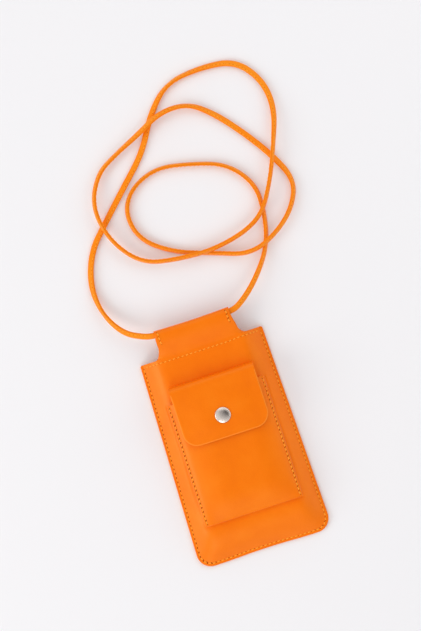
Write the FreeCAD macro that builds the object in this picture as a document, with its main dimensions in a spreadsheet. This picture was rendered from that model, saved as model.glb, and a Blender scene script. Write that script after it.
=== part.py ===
import FreeCAD, Part
import math
import os
import re

import Sketcher
from FreeCAD import Placement, Rotation, Vector

# A leather phone pouch on a neck cord, lying on its back.
# X runs across the pouch, Y along it towards the neck, Z up out of its front.
# The origin is under the middle of the pouch, on the surface that it lies on.

# Driving dimensions in millimetres, angles in degrees
SIZES = {
    # outline of the two panels
    "pouch_width": 106.6,
    "shoulder_width": 98.8,
    "body_length": 163.0,
    "corner_radius": 11.5,
    "shoulder_radius": 1.5,
    # front panel, formed over the phone
    "panel_leather": 1.4,
    "phone_space": 10.0,
    "seam_border": 4.0,
    "slope_angle": 52.0,
    "swell_corner": 9.4,
    "crown_bend": 1.6,
    "foot_bend": 1.5,
    "layer_gap": 0.2,
    # neck that folds back over the ends of the cord
    "neck_height": 22.0,
    "neck_base_width": 63.4,
    "neck_top_width": 59.8,
    "notch_radius": 6.0,
    "tab_lap": 6.5,
    # cord
    "cord_width": 4.5,
    "cord_thickness": 2.8,
    "cord_chamfer": 0.8,
    "cord_gap": 0.8,
    "cord_room": 0.2,
    "cord_end_length": 15.0,
    "cord_lead": 11.5,
    # pocket strip
    "pocket_leather": 1.2,
    "pocket_width": 78.0,
    "pocket_length": 96.8,
    "pocket_lift": 31.2,
    "pocket_border": 4.0,
    "pocket_corner": 8.5,
    "pocket_slope": 35.0,
    "mouth_corner": 2.0,
    "card_space": 4.8,
    # flap
    "flap_width": 67.0,
    "flap_length": 47.6,
    "flap_corner": 11.0,
    "mouth_drop": 12.7,
    # snap fastener
    "snap_from_edge": 16.4,
    "snap_space": 2.8,
    "snap_room": 0.08,
    "cap_radius": 6.25,
    "cap_height": 1.7,
    "cap_rim": 0.8,
    "cap_edge": 0.35,
    "cap_barrel": 1.5,
    "barrel_flare": 0.5,
    "flare_plate": 0.15,
    "socket_radius": 5.2,
    "socket_plate": 0.4,
    "socket_cavity": 3.3,
    "socket_lip": 0.3,
    "socket_rise": 0.6,
    "swing_room": 0.4,
    "stud_flange": 4.5,
    "stud_plate": 0.4,
    "stud_height": 2.1,
    "stud_neck": 1.8,
    "stud_neck_height": 0.8,
    "stud_head": 2.2,
    "stud_bevel": 0.3,
    "ring_wire": 0.3,
    "ring_radius": 2.4,
    "ring_angle": 315.0,
    "post_head": 4.2,
    "post_plate": 0.5,
    "post_barrel": 1.2,
    # stitches
    "stitch_inset": 2.4,
    "pocket_inset": 1.9,
    "tack_inset": 3.2,
    "stitch_pitch": 3.5,
    "stitch_length": 2.6,
    "thread_width": 0.8,
    "thread_height": 0.4,
}
TACK_STITCHES = 3

# Places worked out from the driving dimensions
PLACES = {
    # along the pouch
    "top_y": "(body_length + neck_height) / 2",
    "bottom_y": "-(body_length + neck_height) / 2",
    "shoulder_y": "bottom_y + body_length",
    "pocket_low_y": "bottom_y + pocket_lift",
    "mouth_y": "pocket_low_y + pocket_length",
    "flap_fold_y": "mouth_y + mouth_drop",
    "flap_low_y": "flap_fold_y - flap_length",
    "snap_y": "flap_low_y + snap_from_edge",
    # layers of the pouch, from the back up
    "border_top": "2 * panel_leather",
    "panel_under": "panel_leather + phone_space",
    "panel_top": "panel_under + panel_leather",
    "tab_top": "panel_under - layer_gap",
    "tab_under": "tab_top - panel_leather",
    # neck fold, round the ends of the cord
    "fold_radius": "cord_width / 2 + cord_room + panel_leather",
    "fold_y": "top_y - fold_radius",
    "fold_z": "tab_under + fold_radius",
    "neck_top": "tab_under + 2 * fold_radius",
    "neck_reach": "neck_base_width / 2 + 1.1 * notch_radius",
    # layers of the pocket and its flap
    "pocket_back": "panel_top + pocket_leather",
    "pocket_edge": "pocket_back + layer_gap",
    "pocket_edge_top": "pocket_edge + pocket_leather",
    "pocket_turn": "pocket_leather + layer_gap / 2",
    "pocket_turn_y": "pocket_low_y + pocket_turn",
    "pocket_under": "pocket_back + card_space",
    "pocket_top": "pocket_under + pocket_leather",
    "flap_under": "pocket_top + snap_space",
    "flap_top": "flap_under + pocket_leather",
    "hinge_radius": "(flap_top - panel_top) / 2",
    "hinge_y": "flap_fold_y - hinge_radius",
    "hinge_z": "panel_top + hinge_radius",
    # snap
    "plate_under": "flap_under - socket_plate",
    "flare_under": "plate_under - flare_plate",
    "socket_low": "pocket_top + socket_rise",
    "stud_top": "pocket_top + stud_height",
    "neck_end": "pocket_top + stud_plate + stud_neck_height",
    "ring_z": "socket_low + socket_lip + ring_wire + snap_room / 2",
    "stud_hole": "post_barrel + snap_room",
    "socket_hole": "cap_barrel + snap_room",
}

# The cord's route between the two ends of the neck's fold: x, y and by how many layers of cord it is lifted
# off the floor. It lies in three loose loops and passes over itself six times.
ROUTE = [
    (-52, 99.5, 2.1),
    (-63.5, 118, 0.7),
    (-67.5, 142, 0),
    (-58, 165, 0),
    (-41.5, 184.5, 0),
    (-21, 206, 0),
    (2.5, 227, 0),
    (17, 251.5, 0),
    (36.5, 271.5, 0),
    (65.5, 275, 0),
    (92.5, 272, 0),
    (109, 252.5, 0),
    (111, 228, 0.4),
    (101, 202, 1),
    (89, 176, 1),
    (71.5, 151, 1),
    (36.5, 141, 1),
    (3.5, 141.5, 1),
    (-23, 147, 0.4),
    (-40.5, 170, 1),
    (-46.5, 198, 1),
    (-34.5, 221.5, 0.4),
    (-16.5, 232.5, 0.4),
    (4.5, 242, 1),
    (24.5, 251, 1),
    (47.5, 251.5, 0.4),
    (65, 238, 0),
    (82.5, 216.5, 0),
    (97.5, 194, 0),
    (108, 171, 0),
    (100, 151.5, 0.4),
    (82.5, 136, 1),
    (58.5, 126, 1),
    (31.5, 136, 0),
    (3.5, 147.5, 0),
    (-18, 165, 0),
    (-24, 187, 0),
    (-12.5, 203.5, 0),
    (9.5, 212, 0),
    (35.5, 208, 0),
    (61.5, 198.5, 0),
    (78, 178, 0),
    (78.5, 155, 0),
    (72.5, 129, 0),
    (58.5, 106.5, 1.6),
]

doc = FreeCAD.newDocument("phone_pouch")
sheet = doc.addObject("Spreadsheet::Sheet", "Sizes")
for row, (name, number) in enumerate(SIZES.items(), 1):
    sheet.set(f"A{row}", name)
    sheet.set(f"B{row}", str(number))
    sheet.setAlias(f"B{row}", name)
doc.recompute()
sub_parts = []


def sized(text):
    """An expression in which each size is read from the sheet and each place is written out."""

    def spelled(match):
        word = match.group(0)
        if word in PLACES:
            return "(" + sized(PLACES[word]) + ")"
        return "Sizes." + word if word in SIZES else word

    return re.sub(r"[a-z_]+", spelled, text)


def value(text):
    """The number that an expression of sizes and places comes to."""
    number = sheet.evalExpression(sized(text))
    return float(getattr(number, "Value", number))


# Sketches, whose corners are bound to the sheet


def new_body(label):
    body = doc.addObject("PartDesign::Body", label)
    body.Label = label
    sub_parts.append(body)
    return body


def new_sketch(body, plane, height="0"):
    """An empty sketch on one of the body's origin planes, or a height above it."""
    sketch = body.newObject("Sketcher::SketchObject", body.Label + "_sketch")
    support = next(f for f in body.Origin.OriginFeatures if f.Role == plane)
    sketch.AttachmentSupport = (support, [""])
    sketch.MapMode = "FlatFace"
    sketch.setExpression("AttachmentOffset.Base.z", sized(height))
    return sketch


def bind(sketch, kind, name, expression, *where):
    """A dimension of the sketch that follows an expression."""
    index = sketch.addConstraint(Sketcher.Constraint(kind, *where, value(expression)))
    sketch.renameConstraint(index, name)
    sketch.setExpression("Constraints." + name, sized(expression))


def pin(sketch, name, x, y, shape, end):
    """Ties a point of the sketch to a place, measured from the sketch's origin."""
    for kind, text, axis in (("DistanceX", x, -2), ("DistanceY", y, -1)):
        if abs(value(text)) < 1e-9:
            sketch.addConstraint(Sketcher.Constraint("PointOnObject", shape, end, axis))
        else:
            bind(sketch, kind, name + kind[-1], text, -1, 1, shape, end)


def corner_arc(before, corner, after, radius):
    """The arc that rounds a corner, and whether the outline turns left there."""
    back = (before - corner).normalize()
    on = (after - corner).normalize()
    half = back.getAngle(on) / 2
    centre = corner + (back + on).normalize() * (radius / math.sin(half))
    left = back.cross(on).z < 0
    ends = [corner + side * (radius / math.tan(half)) for side in (back, on)]
    first, last = (ends if left else ends[::-1])
    angles = [math.atan2(p.y - centre.y, p.x - centre.x) for p in (first, last)]
    circle = Part.Circle(centre, Vector(0, 0, 1), radius)
    return Part.ArcOfCircle(circle, *angles), ends, left


def half_turn(start, end, outward):
    """A half circle between two points that lie one above the other, and whether it starts at the first."""
    right = (end.y > start.y) == outward
    circle = Part.Circle((start + end) / 2, Vector(0, 0, 1), start.distanceToPoint(end) / 2)
    first = -math.pi / 2 if right else math.pi / 2
    return Part.ArcOfCircle(circle, first, first + math.pi), outward


def outline(sketch, corners):
    """A closed outline, counter-clockwise. A corner is (x, y), (x, y, bend radius), or (x, y, "turn") or
    (x, y, "hollow") where a half circle that swells or hollows the outline runs on to the next corner."""
    count = len(corners)
    points = [Vector(value(c[0]), value(c[1]), 0) for c in corners]
    kinds = [c[2] if len(c) > 2 else "" for c in corners]
    arrive, leave, arcs = list(points), list(points), {}
    for i, kind in enumerate(kinds):
        if kind and kind not in ("turn", "hollow"):
            arc, ends, left = corner_arc(points[i - 1], points[i], points[(i + 1) % count], value(kind))
            arrive[i], leave[i] = ends
            arcs[i] = (sketch.addGeometry(arc), left)
    chain, side_of = [], {}
    for i, kind in enumerate(kinds):
        if i in arcs:
            index, left = arcs[i]
            chain.append((index, *((1, 2) if left else (2, 1)), True))
        start, end = leave[i], arrive[(i + 1) % count]
        if kind in ("turn", "hollow"):
            arc, forward = half_turn(start, end, kind == "turn")
            index = sketch.addGeometry(arc)
            sketch.addConstraint(Sketcher.Constraint("Vertical", index, 3, index, 1))
            chain.append((index, *((1, 2) if forward else (2, 1)), False))
        else:
            index = sketch.addGeometry(Part.LineSegment(start, end))
            chain.append((index, 1, 2, False))
        side_of[i] = chain[-1]
    for one, other in zip(chain, chain[1:] + chain[:1]):
        kind = "Tangent" if one[3] or other[3] else "Coincident"
        sketch.addConstraint(Sketcher.Constraint(kind, one[0], one[2], other[0], other[1]))
    for i, corner in enumerate(corners):
        if i in arcs:
            index = sketch.addGeometry(Part.Point(points[i]), True)
            for side in (side_of[(i - 1) % count], side_of[i]):
                sketch.addConstraint(Sketcher.Constraint("PointOnObject", index, 1, side[0]))
            pin(sketch, f"corner{i}", corner[0], corner[1], index, 1)
            bind(sketch, "Radius", f"bend{i}", kinds[i], arcs[i][0])
        else:
            pin(sketch, f"corner{i}", corner[0], corner[1], side_of[i][0], side_of[i][1])


def circle(sketch, y, radius):
    """A circle on the middle line of the pouch."""
    ring = Part.Circle(Vector(0, value(y), 0), Vector(0, 0, 1), value(radius))
    index = sketch.addGeometry(ring)
    pin(sketch, "middle", "0", y, index, 3)
    bind(sketch, "Radius", "radius", radius, index)


# Features


def pad(body, sketch, length, taper=None, symmetric=False):
    feature = body.newObject("PartDesign::Pad", body.Label + "_pad")
    feature.Profile = sketch
    feature.setExpression("Length", sized(length))
    if taper:
        feature.setExpression("TaperAngle", sized(taper))
    if symmetric:
        feature.SideType = "Symmetric"


def pocket(body, sketch, length=None, taper=None):
    """A cut upwards from the sketch, by a length or all the way; it has to take some leather away."""
    doc.recompute()
    before = body.Shape.Volume
    feature = body.newObject("PartDesign::Pocket", body.Label + "_pocket")
    feature.Profile = sketch
    feature.Reversed = True
    if length:
        feature.setExpression("Length", sized(length))
    else:
        feature.Type = "ThroughAll"
    if taper:
        feature.setExpression("TaperAngle", sized(taper))
    doc.recompute()
    if body.Shape.Volume > before - 1e-3:
        raise RuntimeError(body.Label + ": a cut took nothing away")


def bend(body, radius, height, side):
    """Rounds the edges at a height whose two faces both look up (side 1) or down (side -1)."""
    doc.recompute()
    base = body.Tip
    level = value(height)
    names = []
    for number, edge in enumerate(base.Shape.Edges, 1):
        if all(abs(v.Z - level) < 1e-4 for v in edge.Vertexes):
            middle = edge.valueAt((edge.FirstParameter + edge.LastParameter) / 2)
            faces = base.Shape.ancestorsOfType(edge, Part.Face)
            normals = [f.normalAt(*f.Surface.parameter(middle)) for f in faces]
            if all(n.z * side > 0.05 for n in normals):
                names.append(f"Edge{number}")
    feature = body.newObject("PartDesign::Fillet", body.Label + "_bend")
    feature.Base = (base, names)
    feature.setExpression("Radius", sized(radius))


def revolve(body, corners, angle="360"):
    """A round piece about the snap's axis, from its half section."""
    body.setExpression("Placement.Base.y", sized("snap_y"))
    sketch = new_sketch(body, "XZ_Plane")
    outline(sketch, corners)
    feature = body.newObject("PartDesign::Revolution", body.Label + "_turned")
    feature.Profile = sketch
    feature.ReferenceAxis = (sketch, ["V_Axis"])
    feature.setExpression("Angle", sized(angle))


# Leather pieces


def panel_outline():
    """The cut of both panels, without the neck: a little wider at the bottom than at the shoulders."""
    return [
        ("-pouch_width / 2", "bottom_y", "corner_radius"),
        ("pouch_width / 2", "bottom_y", "corner_radius"),
        ("shoulder_width / 2", "shoulder_y", "shoulder_radius"),
        ("-shoulder_width / 2", "shoulder_y", "shoulder_radius"),
    ]


def swell(body, leather, under, rise, slope, mouth, foot, inner_corner):
    """Forms the flat leather of a body into a pouch that is open at its mouth. The foot of the swelling
    is given by its half width at the bottom, its half width at the mouth and its lowest line."""
    low_half, mouth_half, low = foot
    far = f"{mouth} + {rise}"
    far_half = f"({mouth_half} - ({low_half} - {mouth_half}) * {rise} / ({mouth} - ({low})))"
    draft = f"{slope} - 90"

    def foot_outline(inset, corner):
        return [
            (f"-({low_half} - {inset})", f"{low} + {inset}", corner),
            (f"{low_half} - {inset}", f"{low} + {inset}", corner),
            (f"{far_half} - {inset}", far),
            (f"-({far_half} - {inset})", far),
        ]

    wall = f"{leather} * tan({slope} / 2)"
    outer = new_sketch(body, "XY_Plane", f"{under} + {leather}")
    outline(outer, foot_outline("0", f"{inner_corner} + {wall}"))
    pad(body, outer, rise, taper=draft)
    opened = new_sketch(body, "XY_Plane", under)
    outline(
        opened,
        [
            (f"-2 * {low_half}", mouth),
            (f"2 * {low_half}", mouth),
            (f"2 * {low_half}", f"{far} + {rise}"),
            (f"-2 * {low_half}", f"{far} + {rise}"),
        ],
    )
    pocket(body, opened)
    bend(body, f"crown_bend + {leather}", f"{under} + {rise} + {leather}", 1)
    bend(body, "foot_bend", f"{under} + {leather}", 1)
    inner = new_sketch(body, "XY_Plane", under)
    outline(inner, foot_outline(wall, inner_corner))
    pocket(body, inner, rise, taper=draft)
    bend(body, "crown_bend", f"{under} + {rise}", -1)


def back_panel():
    body = new_body("back_panel")
    sketch = new_sketch(body, "XY_Plane")
    outline(sketch, panel_outline())
    pad(body, sketch, "panel_leather")


def front_panel():
    """The front panel, formed over the phone. Its neck rises to a fold round the ends of the cord and
    comes back as a tab behind the panel, where the top row of stitches holds it."""
    body = new_body("front_panel")
    sketch = new_sketch(body, "XY_Plane", "panel_leather")
    outline(sketch, panel_outline())
    pad(body, sketch, "panel_leather")
    foot = ("(pouch_width / 2 - seam_border)", "(shoulder_width / 2 - seam_border)", "bottom_y + seam_border")
    swell(
        body, "panel_leather", "panel_leather", "phone_space", "slope_angle", "shoulder_y", foot, "swell_corner"
    )

    neck = new_sketch(body, "YZ_Plane")
    outline(
        neck,
        [
            ("shoulder_y - panel_leather", "panel_under"),
            ("shoulder_y", "panel_under"),
            ("fold_y", "neck_top - panel_leather", "hollow"),
            ("fold_y", "tab_top"),
            ("fold_y", "tab_under", "turn"),
            ("fold_y", "neck_top"),
            ("shoulder_y", "panel_top"),
            ("shoulder_y - panel_leather", "panel_top"),
        ],
    )
    pad(body, neck, "2 * neck_reach", symmetric=True)
    notch = [
        ("neck_base_width / 2", "shoulder_y", "notch_radius"),
        ("2 * neck_reach", "shoulder_y"),
        ("2 * neck_reach", "top_y + fold_radius"),
        ("neck_top_width / 2", "top_y + fold_radius"),
    ]
    mirrored = [(f"-({c[0]})", *c[1:]) for c in reversed(notch)]
    for side in (notch, mirrored):
        cut = new_sketch(body, "XY_Plane")
        outline(cut, side)
        pocket(body, cut)

    tab = new_sketch(body, "XY_Plane", "tab_under")
    outline(
        tab,
        [
            ("-neck_top_width / 2", "shoulder_y - tab_lap"),
            ("neck_top_width / 2", "shoulder_y - tab_lap"),
            ("neck_top_width / 2", "fold_y"),
            ("-neck_top_width / 2", "fold_y"),
        ],
    )
    pad(body, tab, "panel_leather")


def pocket_body():
    """The pocket's strip: a back wall on the front panel, a tight fold along the bottom and a front wall
    that swells, with a hole for the snap."""
    body = new_body("pocket_body")
    back = new_sketch(body, "XY_Plane", "panel_top")
    outline(
        back,
        [
            ("-pocket_width / 2", "pocket_turn_y"),
            ("pocket_width / 2", "pocket_turn_y"),
            ("pocket_width / 2", "mouth_y", "mouth_corner"),
            ("flap_width / 2", "mouth_y"),
            ("flap_width / 2", "hinge_y"),
            ("-flap_width / 2", "hinge_y"),
            ("-flap_width / 2", "mouth_y"),
            ("-pocket_width / 2", "mouth_y", "mouth_corner"),
        ],
    )
    pad(body, back, "pocket_leather")
    fold = new_sketch(body, "YZ_Plane")
    outline(
        fold,
        [
            ("pocket_turn_y", "panel_top"),
            ("pocket_turn_y", "pocket_back", "hollow"),
            ("pocket_turn_y", "pocket_edge"),
            ("pocket_turn_y", "pocket_edge_top", "turn"),
        ],
    )
    pad(body, fold, "pocket_width", symmetric=True)
    front = new_sketch(body, "XY_Plane", "pocket_edge")
    outline(
        front,
        [
            ("-pocket_width / 2", "pocket_turn_y"),
            ("pocket_width / 2", "pocket_turn_y"),
            ("pocket_width / 2", "mouth_y", "mouth_corner"),
            ("-pocket_width / 2", "mouth_y", "mouth_corner"),
        ],
    )
    pad(body, front, "pocket_leather")
    half = "(pocket_width / 2 - pocket_border)"
    foot = (half, half, "pocket_low_y + pocket_border")
    rise = "(card_space - layer_gap)"
    swell(body, "pocket_leather", "pocket_edge", rise, "pocket_slope", "mouth_y", foot, "pocket_corner")
    hole = new_sketch(body, "XY_Plane", "pocket_edge")
    circle(hole, "snap_y", "stud_hole")
    pocket(body, hole)


def flap_fold():
    """The bend of the strip above the pocket."""
    body = new_body("flap_fold")
    sketch = new_sketch(body, "YZ_Plane")
    outline(
        sketch,
        [
            ("hinge_y", "panel_top", "turn"),
            ("hinge_y", "flap_top"),
            ("hinge_y", "flap_under", "hollow"),
            ("hinge_y", "pocket_back"),
        ],
    )
    pad(body, sketch, "flap_width", symmetric=True)


def pocket_flap():
    body = new_body("pocket_flap")
    sketch = new_sketch(body, "XY_Plane", "flap_under")
    outline(
        sketch,
        [
            ("-flap_width / 2", "flap_low_y", "flap_corner"),
            ("flap_width / 2", "flap_low_y", "flap_corner"),
            ("flap_width / 2", "hinge_y"),
            ("-flap_width / 2", "hinge_y"),
        ],
    )
    pad(body, sketch, "pocket_leather")
    hole = new_sketch(body, "XY_Plane", "flap_under")
    circle(hole, "snap_y", "socket_hole")
    pocket(body, hole)


# Snap fastener


def snap_pieces():
    """Cap, socket and ring spring on the flap; stud and post on the pocket's front wall."""
    revolve(
        new_body("snap_cap"),
        [
            ("0", "flare_under"),
            ("cap_barrel + barrel_flare", "flare_under"),
            ("cap_barrel + barrel_flare", "plate_under"),
            ("cap_barrel", "plate_under"),
            ("cap_barrel", "flap_top"),
            ("cap_radius", "flap_top"),
            ("cap_radius", "flap_top + cap_rim - cap_edge"),
            ("cap_radius - cap_edge", "flap_top + cap_rim"),
            ("cap_radius / 2", "flap_top + cap_height", "cap_radius"),
            ("0", "flap_top + cap_height"),
        ],
    )
    revolve(
        new_body("snap_socket"),
        [
            ("socket_hole", "plate_under"),
            ("socket_cavity", "plate_under"),
            ("socket_cavity", "socket_low + socket_lip"),
            ("stud_head + swing_room", "socket_low + socket_lip"),
            ("stud_head + swing_room", "socket_low"),
            ("socket_radius", "socket_low"),
            ("socket_radius", "flap_under"),
            ("socket_hole", "flap_under"),
        ],
    )
    revolve(
        new_body("snap_stud"),
        [
            ("stud_hole", "pocket_top"),
            ("stud_flange", "pocket_top"),
            ("stud_flange", "pocket_top + stud_plate"),
            ("stud_neck", "pocket_top + stud_plate"),
            ("stud_neck", "neck_end"),
            ("stud_head", "neck_end + stud_bevel"),
            ("stud_head", "stud_top - stud_bevel"),
            ("stud_head - stud_bevel", "stud_top"),
            ("stud_hole", "stud_top"),
        ],
    )
    revolve(
        new_body("snap_post"),
        [
            ("0", "pocket_under - post_plate"),
            ("post_head", "pocket_under - post_plate"),
            ("post_head", "pocket_under"),
            ("post_barrel", "pocket_under"),
            ("post_barrel", "stud_top"),
            ("0", "stud_top"),
        ],
    )
    side = "ring_wire / 2"
    rise = "ring_wire * sin(60)"
    revolve(
        new_body("snap_spring"),
        [
            ("ring_radius - ring_wire", "ring_z"),
            (f"ring_radius - {side}", f"ring_z - {rise}"),
            (f"ring_radius + {side}", f"ring_z - {rise}"),
            ("ring_radius + ring_wire", "ring_z"),
            (f"ring_radius + {side}", f"ring_z + {rise}"),
            (f"ring_radius - {side}", f"ring_z + {rise}"),
        ],
        "ring_angle",
    )


# Cord


def cord_section():
    """The flat strip's section, with its edges eased: across the strip, and through it."""
    half = "cord_width / 2"
    deep = "cord_thickness / 2"
    quarter = [(half, f"{deep} - cord_chamfer"), (f"{half} - cord_chamfer", deep)]
    upper = quarter + [(f"-({x})", z) for x, z in reversed(quarter)]
    return upper + [(f"-({x})", f"-({z})") for x, z in upper]


def cord_ends():
    """The two ends of the cord inside the neck's fold."""
    for label, place in (
        ("cord_end_left", "-neck_top_width / 2"),
        ("cord_end_right", "neck_top_width / 2 - cord_end_length"),
    ):
        body = new_body(label)
        sketch = new_sketch(body, "YZ_Plane", place)
        outline(sketch, [(f"fold_y + {y}", f"fold_z + {z}") for y, z in cord_section()])
        pad(body, sketch, "cord_end_length")


def feature(label, shape):
    piece = doc.addObject("Part::Feature", label)
    piece.Label = label
    piece.Shape = shape
    piece.Placement = Placement()
    sub_parts.append(piece)


def least_gap(spine, thick):
    """The least room that the cord leaves where it passes itself, measured between points on its line."""
    points = spine.discretize(Distance=2.0)
    apart = 10
    nearest = min(
        one.distanceToPoint(other)
        for i, one in enumerate(points)
        for other in points[i + apart:]
    )
    return nearest - thick


def neck_cord():
    """The strip along its route: straight runs joined by arcs as large as the runs allow."""
    edge = value("neck_top_width / 2")
    lead = edge + value("cord_lead")
    height = Vector(0, value("fold_y"), value("fold_z"))
    thick = value("cord_thickness")
    layer = thick + value("cord_gap")
    points = [Vector(-edge, 0, 0) + height, Vector(-lead, 0, 0) + height]
    points += [Vector(x, y, thick / 2 + layers * layer) for x, y, layers in ROUTE]
    points += [Vector(lead, 0, 0) + height, Vector(edge, 0, 0) + height]
    path, radii, here = [], [], points[0]
    for before, corner, after in zip(points, points[1:], points[2:]):
        back = before - corner
        on = after - corner
        reach = 0.45 * min(back.Length, on.Length)
        turn = math.pi - back.getAngle(on)
        radii.append(reach / math.tan(turn / 2))
        first = corner + back.normalize() * reach
        last = corner + on.normalize() * reach
        sag = radii[-1] * (1 / math.cos(turn / 2) - 1)
        middle = corner + (back + on).normalize() * sag
        path.append(Part.LineSegment(here, first).toShape())
        path.append(Part.Arc(first, middle, last).toShape())
        here = last
    path.append(Part.LineSegment(here, points[-1]).toShape())
    spine = Part.Wire(path)
    corners = [points[0] + Vector(0, value(y), value(z)) for y, z in cord_section()]
    section = Part.makePolygon(corners + corners[:1])
    sweep = Part.BRepOffsetAPI.MakePipeShell(spine)
    sweep.setBiNormalMode(Vector(0, 0, 1))
    sweep.add(section)
    sweep.build()
    sweep.makeSolid()
    strip = sweep.shape()
    expected = Part.Face(section).Area * spine.Length
    print(f"cord: {spine.Length:.0f} mm long, least gap to itself {least_gap(spine, thick):.1f} mm,"
          f" volume {strip.Volume / expected:.4f} of section times length")
    print("cord radii in mm:", " ".join(f"{r:.0f}" for r in radii))
    feature("neck_cord", strip)


# Threads, each row a group of stitches that lie on the leather


def stitch(place, along, up):
    """One stitch, a short ridge."""
    across = up.cross(along) * value("thread_width / 2")
    start = place - along * value("stitch_length / 2")
    lift = up * value("thread_height")
    loop = [start - across, start + across, start + lift]
    return Part.Face(Part.makePolygon(loop + loop[:1])).extrude(along * value("stitch_length"))


def stitch_row(edges, up):
    """Evenly spaced stitches along a row of edges."""
    whole = sum(e.Length for e in edges)
    count = int(whole / value("stitch_pitch"))
    stitches = []
    for i in range(count):
        along = (i + 0.5) * whole / count
        edge = edges[0]
        for edge in edges:
            if along <= edge.Length:
                break
            along -= edge.Length
        at = edge.getParameterByLength(along)
        stitches.append(stitch(edge.valueAt(at), edge.tangentAt(at).normalize(), up))
    return stitches


def line(start, end):
    return Part.LineSegment(Vector(*start), Vector(*end)).toShape()


def threads():
    up = Vector(0, 0, 1)
    inset = value("stitch_inset")
    low = value("bottom_y") + inset
    high = value("shoulder_y - shoulder_radius")
    wide = value("pouch_width / 2") - inset
    narrow = value("shoulder_width / 2") - inset
    level = value("border_top")
    corners = [Vector(-narrow, high, 0), Vector(-wide, low, 0), Vector(wide, low, 0), Vector(narrow, high, 0)]
    bend_radius = value("corner_radius") - inset
    rounds = [corner_arc(*corners[i - 1:i + 2], bend_radius) for i in (1, 2)]
    stops = [corners[0], *rounds[0][1], *rounds[1][1], corners[3]]
    seam = [Part.LineSegment(stops[0], stops[1]).toShape(), rounds[0][0].toShape(),
            Part.LineSegment(stops[2], stops[3]).toShape(), rounds[1][0].toShape(),
            Part.LineSegment(stops[4], stops[5]).toShape()]
    for edge in seam:
        edge.translate(Vector(0, 0, level))
    feature("seam_thread", Part.makeCompound(stitch_row(seam, up)))

    crown = "(crown_bend + panel_leather) * tan(slope_angle / 2)"
    flat = value(f"shoulder_width / 2 - seam_border - phone_space / tan(slope_angle) - {crown}")
    row = value("shoulder_y - stitch_inset")
    top = line((-flat, row, value("panel_top")), (flat, row, value("panel_top")))
    feature("top_thread", Part.makeCompound(stitch_row([top], up)))

    slope = Vector(0, value("fold_y - shoulder_y"), value("neck_top - panel_top")).normalize()
    tack_length = TACK_STITCHES * value("stitch_pitch")
    tack_top = Vector(0, value("fold_y"), value("neck_top"))
    for name, side in (("left", -1), ("right", 1)):
        x = side * value("pocket_width / 2 - pocket_inset")
        level = value("pocket_edge_top")
        edge = line((x, value("pocket_turn_y"), level), (x, value("mouth_y - mouth_corner"), level))
        feature("pocket_thread_" + name, Part.makeCompound(stitch_row([edge], up)))
        end = tack_top + Vector(side * value("neck_top_width / 2 - tack_inset"), 0, 0)
        tack = Part.LineSegment(end - slope * tack_length, end).toShape()
        feature("tack_thread_" + name, Part.makeCompound(stitch_row([tack], Vector(1, 0, 0).cross(slope))))


back_panel()
front_panel()
pocket_body()
flap_fold()
pocket_flap()
snap_pieces()
cord_ends()
neck_cord()
threads()
doc.recompute()

for item in doc.Objects:
    if "Invalid" in item.State or "Error" in item.State:
        raise RuntimeError(f"{item.Label} failed: {item.State}")
for piece in sub_parts:
    if piece.Shape.isNull() or not piece.Shape.isValid():
        raise RuntimeError(f"{piece.Label} has no valid shape")
os.makedirs("parts", exist_ok=True)
for piece in sub_parts:
    piece.Shape.exportStep(f"parts/{piece.Label}.step")
    print(f"{piece.Label}: {len(piece.Shape.Solids)} solids, {piece.Shape.Volume:.1f} mm3")
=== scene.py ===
import math

import bmesh
import bpy
import numpy as np
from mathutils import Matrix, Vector, noise


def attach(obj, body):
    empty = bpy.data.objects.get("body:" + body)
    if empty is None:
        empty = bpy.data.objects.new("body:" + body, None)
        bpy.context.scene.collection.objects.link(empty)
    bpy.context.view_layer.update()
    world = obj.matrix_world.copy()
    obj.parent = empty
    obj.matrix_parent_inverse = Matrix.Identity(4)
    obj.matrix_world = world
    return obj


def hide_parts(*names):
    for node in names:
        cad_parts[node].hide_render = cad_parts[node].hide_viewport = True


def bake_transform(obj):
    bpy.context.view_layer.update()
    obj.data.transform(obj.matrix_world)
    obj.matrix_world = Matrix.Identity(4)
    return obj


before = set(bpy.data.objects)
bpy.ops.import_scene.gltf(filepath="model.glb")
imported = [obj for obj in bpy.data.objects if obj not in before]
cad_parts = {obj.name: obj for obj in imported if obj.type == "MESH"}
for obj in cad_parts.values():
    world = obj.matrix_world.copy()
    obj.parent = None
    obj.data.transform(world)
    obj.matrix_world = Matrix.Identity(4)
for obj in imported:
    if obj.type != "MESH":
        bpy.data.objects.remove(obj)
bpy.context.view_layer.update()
scene = bpy.context.scene

# Shapes are worked out in millimetres and written to meshes in metres
MM = 0.001

# Sizes of the pouch, as in the CAD model
BOTTOM_Y, SHOULDER_Y = -92.5, 70.5
POUCH_HALF, SHOULDER_HALF = 53.3, 49.4
CORNER_RADIUS, SHOULDER_RADIUS = 11.5, 1.5
PANEL_LEATHER, PANEL_TOP, BORDER_TOP = 1.4, 12.8, 2.8
NECK_BASE_HALF, NECK_TOP_HALF, NOTCH_RADIUS = 31.7, 29.9, 6.0
FOLD_RADIUS, FOLD_Y, FOLD_Z = 3.85, 88.65, 13.65
TAB_UNDER, TAB_LAP = 9.8, 6.5
POCKET_LEATHER, POCKET_HALF = 1.2, 39.0
POCKET_LOW_Y, MOUTH_Y, POCKET_TURN, MOUTH_CORNER = -61.3, 35.5, 1.3, 2.0
POCKET_LAYERS, POCKET_TOP = 2.65, 20.0
FLAP_HALF, FLAP_LOW_Y, FLAP_CORNER, FLAP_TOP = 33.5, 0.0, 11.0, 24.0
HINGE_Y, HINGE_Z, HINGE_RADIUS = 42.6, 18.4, 5.6
SNAP_Y = 17.0
STITCH_INSET, POCKET_INSET, TACK_INSET = 2.4, 1.9, 2.7
STITCH_PITCH, STITCH_LENGTH, THREAD_RADIUS = 3.5, 2.4, 0.4

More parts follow.
